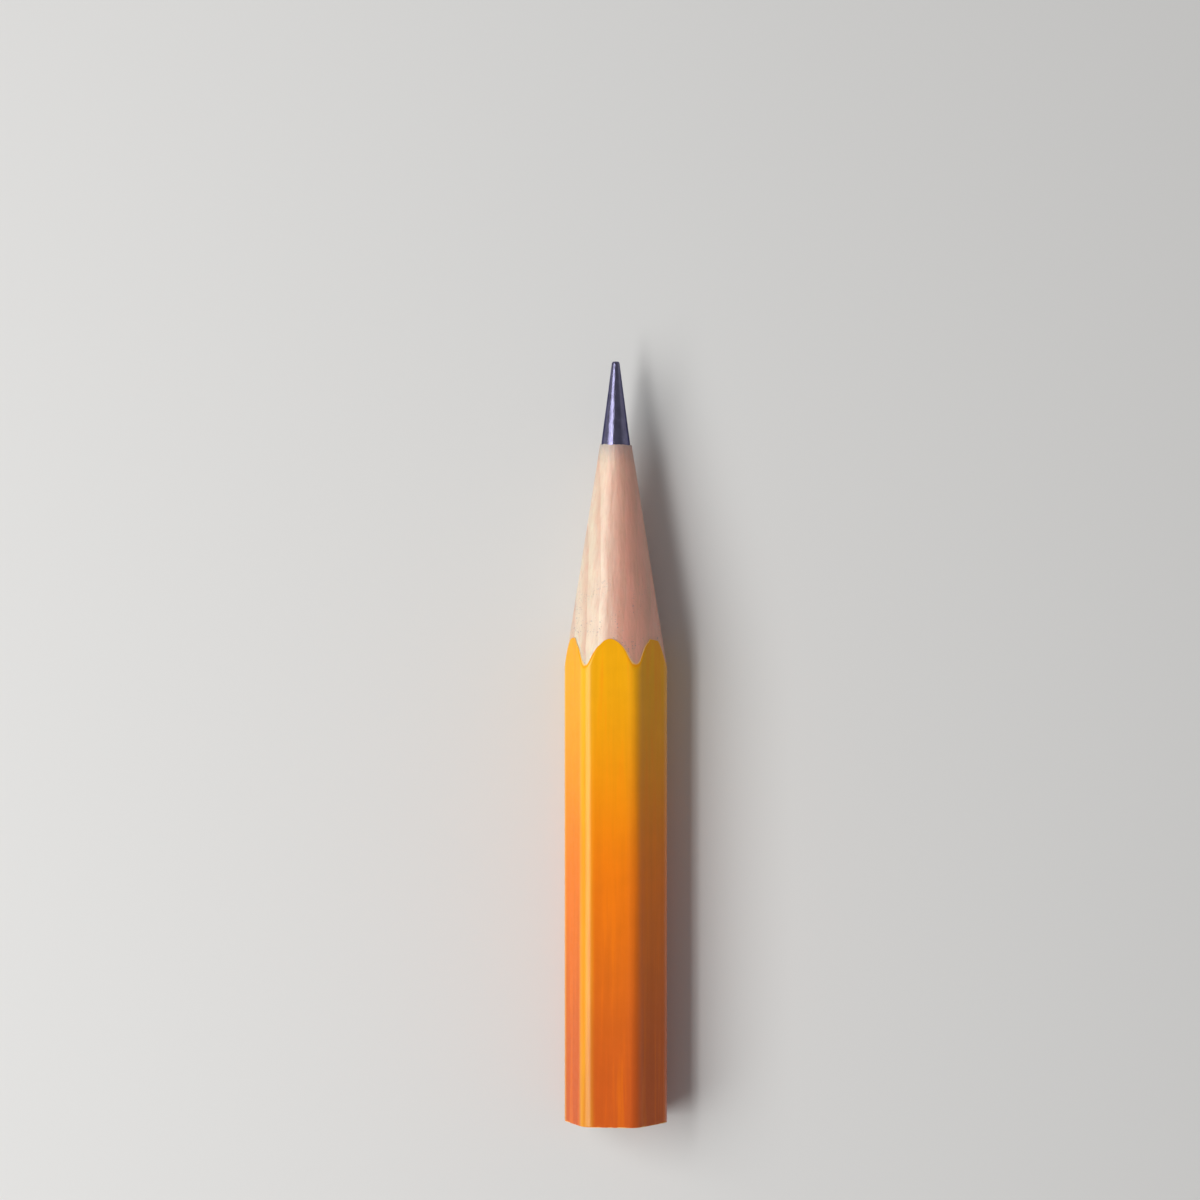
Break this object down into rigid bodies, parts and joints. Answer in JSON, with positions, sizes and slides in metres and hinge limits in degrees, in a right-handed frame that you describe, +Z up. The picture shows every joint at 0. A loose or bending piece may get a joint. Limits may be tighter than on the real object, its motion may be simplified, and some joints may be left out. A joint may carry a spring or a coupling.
{
  "type": "pencil stub",
  "caption": "Short sharpened wood-cased pencil with a hexagonal yellow-orange lacquered body, a bare wood cone, a dark blunt lead and a plain sawn end.",
  "frame": {"origin": "on the resting plane, under the middle of the stub's length and width", "axes": "+Y along the lead from the sawn end to the point, +Z up from the flat that it rests on, +X across the body"},
  "size_m": [0.0078, 0.058, 0.0071],
  "materials": {
    "bare_wood": "bare, cut smooth by a sharpener",
    "graphite_lead": "burnished dark grey with a blue cast",
    "lacquer": "glossy yellow-orange lacquer"
  },
  "bodies": {
    "root": {"upper_slat": "bare_wood", "lower_slat": "bare_wood", "lead": "graphite_lead", "lacquer_coat": "lacquer"}
  },
  "joints": []
}
